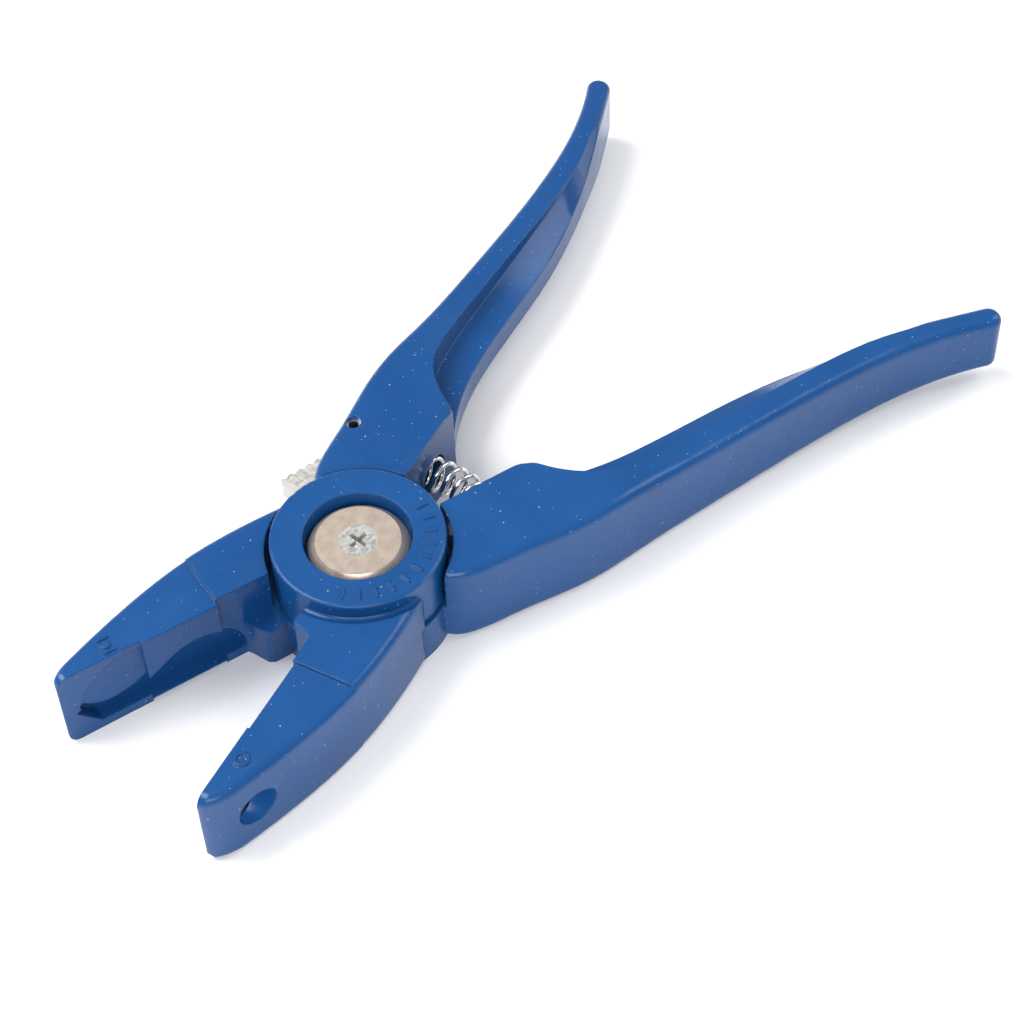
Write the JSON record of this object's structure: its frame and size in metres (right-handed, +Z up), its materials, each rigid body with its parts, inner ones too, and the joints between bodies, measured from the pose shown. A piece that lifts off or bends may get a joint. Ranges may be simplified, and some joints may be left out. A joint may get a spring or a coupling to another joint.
{
  "type": "ear tag applicator pliers",
  "caption": "Hand pliers with recessed jaws on a lap pivot, sprung open, for pressing a two-part livestock ear tag together.",
  "frame": {"origin": "on the pivot axis, on the flat underside of the hub, which is the back face of the pivot post", "axes": "+Z up along the pivot axis towards the raised hub disc; +X from the pivot between the two open handles; the jaws point to -X"},
  "size_m": [0.1861, 0.1084, 0.0221],
  "materials": {
    "blue_enamel": "gloss enamel",
    "turned_steel": "turned",
    "nickel": "turned nickel",
    "zinc_screw": "zinc plated",
    "spring_wire": "bright drawn wire",
    "zinc_latch": "satin cast"
  },
  "bodies": {
    "disc_lever": {"lever_f": "blue_enamel", "pivot_post": "turned_steel", "thrust_washer": "turned_steel", "wave_washer": "turned_steel", "pivot_cap": "nickel", "pivot_screw": "zinc_screw", "return_spring": "spring_wire", "latch_pin": "turned_steel"},
    "socket_lever": {"lever_m": "blue_enamel"},
    "latch_body": {"latch": "zinc_latch"}
  },
  "joints": [
    {"name": "pivot_hinge", "type": "hinge", "parent": "disc_lever", "child": "socket_lever", "pos_m": [0, 0, 0], "axis": [0, 0, 1], "range_deg": [0, 29.5], "stiffness_Nm_per_rad": 0.25, "springref_deg": -17.19, "deforming": ["return_spring"]},
    {"name": "latch_pivot", "type": "hinge", "parent": "disc_lever", "child": "latch_body", "pos_m": [0.02054, 0.02175, 0.0097], "axis": [0, 0, 1], "range_deg": [0, 9]}
  ]
}
